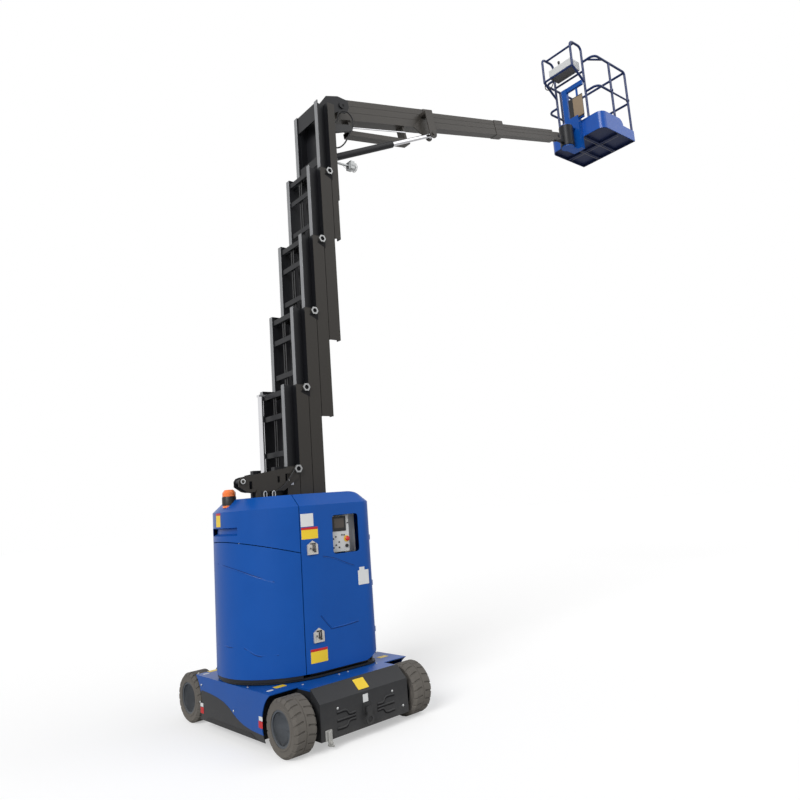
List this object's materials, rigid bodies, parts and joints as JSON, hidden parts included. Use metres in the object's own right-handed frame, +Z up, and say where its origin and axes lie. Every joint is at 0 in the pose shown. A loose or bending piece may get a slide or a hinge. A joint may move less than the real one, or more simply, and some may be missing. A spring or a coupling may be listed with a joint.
{
  "type": "vertical mast lift",
  "caption": "Self-propelled vertical mast boom lift with slewing turret, interlocking mast, telescopic boom and rotating railed basket.",
  "frame": {"origin": "on the ground under the turret's slew axis", "axes": "+X along the boom from mast to basket, +Y to the left of the boom, +Z up; the chassis is turned 3 degrees about +Z from the boom"},
  "size_m": [6.0574, 1.8534, 7.6614],
  "materials": {
    "paint_dark": "satin",
    "paint_blue": "satin",
    "zinc": "brushed",
    "chrome": "polished",
    "tyre_grey": "matte",
    "rim_grey": "satin",
    "panel_white": "matte",
    "amber": "gloss"
  },
  "bodies": {
    "chassis": {"chassis_frame": "paint_dark", "deck_plate": "paint_blue", "side_covers": "paint_dark", "end_covers": "paint_dark", "tow_ring": "paint_dark", "slew_ring": "zinc", "drive_motors": "paint_dark", "steer_axle": "paint_dark"},
    "wheel_rear_left": {"tyre_rear_left": "tyre_grey", "rim_rear_left": "rim_grey"},
    "wheel_rear_right": {"tyre_rear_right": "tyre_grey", "rim_rear_right": "rim_grey"},
    "knuckle_left": {"steer_knuckle_left": "paint_dark"},
    "knuckle_right": {"steer_knuckle_right": "paint_dark"},
    "wheel_front_left": {"tyre_front_left": "tyre_grey", "rim_front_left": "rim_grey"},
    "wheel_front_right": {"tyre_front_right": "tyre_grey", "rim_front_right": "rim_grey"},
    "turret": {"turntable": "paint_dark", "tail_hood": "paint_blue", "tail_cap": "paint_blue", "pod_frames": "paint_blue", "ground_control": "panel_white", "counterweight": "paint_dark", "battery_packs": "paint_dark", "mast_brace": "paint_dark", "beacon": "amber", "mast_section_1": "paint_dark", "chains_1": "zinc", "lift_barrel": "paint_dark"},
    "door_near": {"door_near": "paint_blue", "latches_near": "zinc"},
    "door_far": {"door_far": "paint_blue", "latches_far": "zinc"},
    "mast_2": {"mast_section_2": "paint_dark", "chains_2": "zinc", "lift_rod": "chrome"},
    "mast_3": {"mast_section_3": "paint_dark", "chains_3": "zinc"},
    "mast_4": {"mast_section_4": "paint_dark", "chains_4": "zinc"},
    "mast_5": {"mast_section_5": "paint_dark", "chains_5": "zinc"},
    "mast_6": {"mast_section_6": "paint_dark", "work_light": "zinc"},
    "boom_base": {"boom_base": "paint_dark"},
    "boom_mid": {"boom_mid": "paint_dark"},
    "boom_tip": {"boom_tip": "paint_dark"},
    "luff_barrel": {"luff_barrel": "paint_dark"},
    "luff_rod": {"luff_rod": "chrome"},
    "level_head": {"level_head": "paint_dark"},
    "platform": {"basket_bracket": "paint_blue", "basket_floor": "paint_blue", "kick_wall": "paint_blue", "guard_rails": "paint_blue", "gate_hoops": "paint_blue", "control_box": "panel_white"},
    "entry_bar": {"entry_bar": "paint_blue"}
  },
  "joints": [
    {"name": "spin_rear_left", "type": "hinge", "parent": "chassis", "child": "wheel_rear_left", "pos_m": [-0.48494, -0.73038, 0.193], "axis": [0.9986, 0.0523, 0], "continuous": true},
    {"name": "spin_rear_right", "type": "hinge", "parent": "chassis", "child": "wheel_rear_right", "pos_m": [0.55863, -0.67569, 0.193], "axis": [0.9986, 0.0523, 0], "continuous": true},
    {"name": "steer_left", "type": "hinge", "parent": "chassis", "child": "knuckle_left", "pos_m": [-0.49122, 0.67922, 0.193], "axis": [0, 0, 1], "range_deg": [-30, 30]},
    {"name": "steer_right", "type": "hinge", "parent": "chassis", "child": "knuckle_right", "pos_m": [0.41753, 0.72685, 0.193], "axis": [0, 0, 1], "range_deg": [-30, 30]},
    {"name": "spin_front_left", "type": "hinge", "parent": "knuckle_left", "child": "wheel_front_left", "pos_m": [-0.55863, 0.67569, 0.193], "axis": [0.9986, 0.0523, 0], "continuous": true},
    {"name": "spin_front_right", "type": "hinge", "parent": "knuckle_right", "child": "wheel_front_right", "pos_m": [0.48494, 0.73038, 0.193], "axis": [0.9986, 0.0523, 0], "continuous": true},
    {"name": "turret_slew", "type": "hinge", "parent": "chassis", "child": "turret", "pos_m": [0, 0, 0.402], "axis": [0, 0, 1], "range_deg": [-175, 175]},
    {"name": "door_near_hinge", "type": "hinge", "parent": "turret", "child": "door_near", "pos_m": [0.44, -0.428, 1], "axis": [0, 0, 1], "range_deg": [0, 110]},
    {"name": "door_far_hinge", "type": "hinge", "parent": "turret", "child": "door_far", "pos_m": [0.44, 0.428, 1], "axis": [0, 0, -1], "range_deg": [0, 110]},
    {"name": "mast_slide_2", "type": "slide", "parent": "turret", "child": "mast_2", "axis": [0, 0, 1], "range_m": [-0.6, 0]},
    {"name": "mast_slide_3", "type": "slide", "parent": "mast_2", "child": "mast_3", "axis": [0, 0, 1], "range_m": [-0.6, 0]},
    {"name": "mast_slide_4", "type": "slide", "parent": "mast_3", "child": "mast_4", "axis": [0, 0, 1], "range_m": [-0.6, 0]},
    {"name": "mast_slide_5", "type": "slide", "parent": "mast_4", "child": "mast_5", "axis": [0, 0, 1], "range_m": [-0.6, 0]},
    {"name": "mast_slide_6", "type": "slide", "parent": "mast_5", "child": "mast_6", "axis": [0, 0, 1], "range_m": [-0.6, 0]},
    {"name": "boom_luff", "type": "hinge", "parent": "mast_6", "child": "boom_base", "pos_m": [0.641, 0, 5.422], "axis": [0, -1, 0], "range_deg": [-45, 40]},
    {"name": "boom_extend_mid", "type": "slide", "parent": "boom_base", "child": "boom_mid", "axis": [0.9734, 0, 0.2292], "range_m": [-0.9, 0]},
    {"name": "boom_extend_tip", "type": "slide", "parent": "boom_mid", "child": "boom_tip", "axis": [0.9734, 0, 0.2292], "range_m": [-0.9, 0]},
    {"name": "luff_swing", "type": "hinge", "parent": "mast_6", "child": "luff_barrel", "pos_m": [0.5, -0.106, 4.857], "axis": [0, -1, 0], "range_deg": [-35, 33]},
    {"name": "luff_stroke", "type": "slide", "parent": "luff_barrel", "child": "luff_rod", "axis": [0.8989, 0, 0.4382], "range_m": [-0.36, 0.32]},
    {"name": "basket_level", "type": "hinge", "parent": "boom_tip", "child": "level_head", "pos_m": [4.20357, 0, 6.26087], "axis": [0, -1, 0], "range_deg": [-41, 46]},
    {"name": "basket_turn", "type": "hinge", "parent": "level_head", "child": "platform", "pos_m": [4.42957, 0, 6.32087], "axis": [0, 0, 1], "range_deg": [-70, 70]},
    {"name": "entry_bar_lift", "type": "slide", "parent": "platform", "child": "entry_bar", "axis": [0, 0, 1], "range_m": [0, 0.38]}
  ],
  "couplings": [
    {"joint": "steer_right", "follows": "steer_left", "ratio": 1},
    {"joint": "mast_slide_3", "follows": "mast_slide_2", "ratio": 1},
    {"joint": "mast_slide_4", "follows": "mast_slide_2", "ratio": 1},
    {"joint": "mast_slide_5", "follows": "mast_slide_2", "ratio": 1},
    {"joint": "mast_slide_6", "follows": "mast_slide_2", "ratio": 1},
    {"joint": "boom_extend_tip", "follows": "boom_extend_mid", "ratio": 1},
    {"joint": "luff_swing", "follows": "boom_luff", "ratio": 0.752},
    {"joint": "luff_stroke", "follows": "boom_luff", "m_per_rad": 0.448},
    {"joint": "basket_level", "follows": "boom_luff", "ratio": -1}
  ]
}
